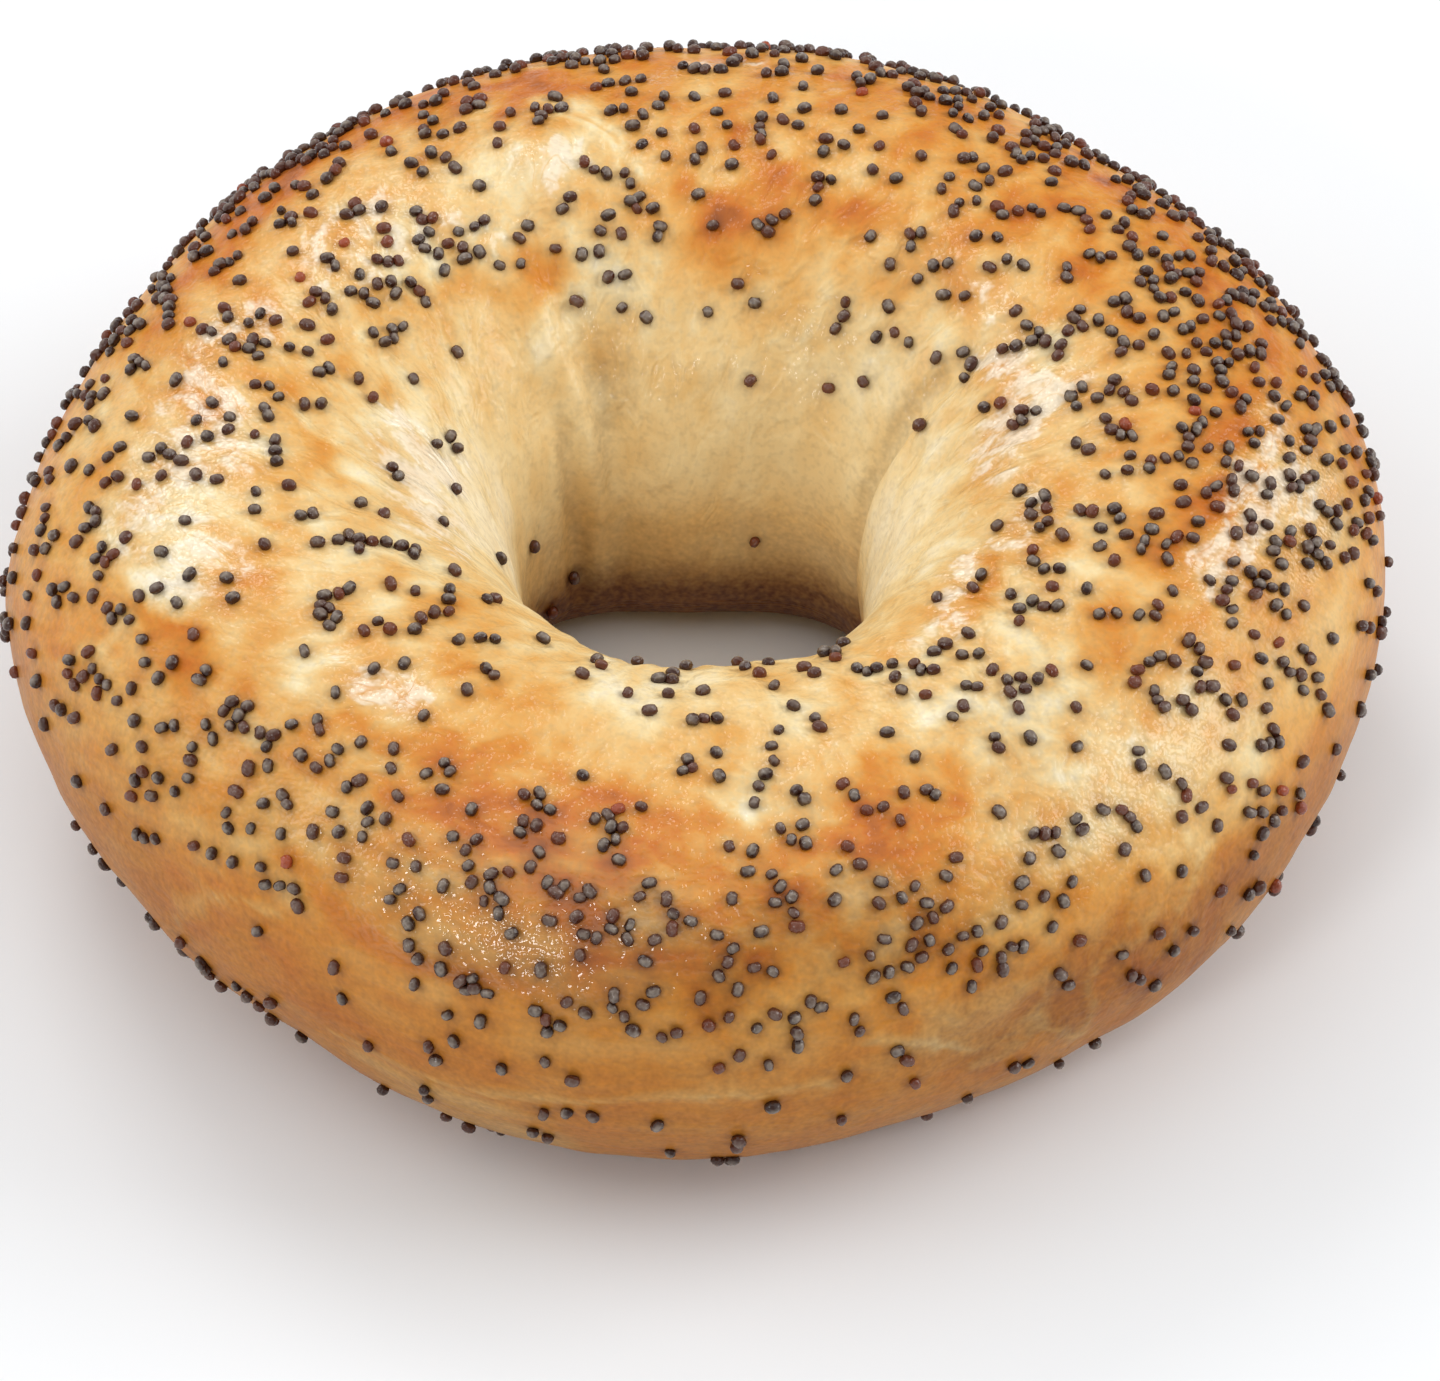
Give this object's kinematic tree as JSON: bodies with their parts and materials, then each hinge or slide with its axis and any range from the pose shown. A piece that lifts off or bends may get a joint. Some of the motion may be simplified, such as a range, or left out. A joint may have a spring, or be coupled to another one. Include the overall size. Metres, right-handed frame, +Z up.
{
  "type": "poppy seed bagel",
  "caption": "Whole baked ring bagel with a browned glossy crust, a soft square hole, a flattened underside and poppy seeds over its top and sides.",
  "frame": {"origin": "on the surface the bagel lies on, under the middle of its overall outline", "axes": "+Z up through the hole, -Y towards the viewer of the picture, +X to that viewer's right"},
  "size_m": [0.1088, 0.1102, 0.0361],
  "materials": {
    "crust": "baked dough crust, golden to orange brown, lightly glossy"
  },
  "bodies": {
    "root": {"bagel": "crust"}
  },
  "joints": []
}
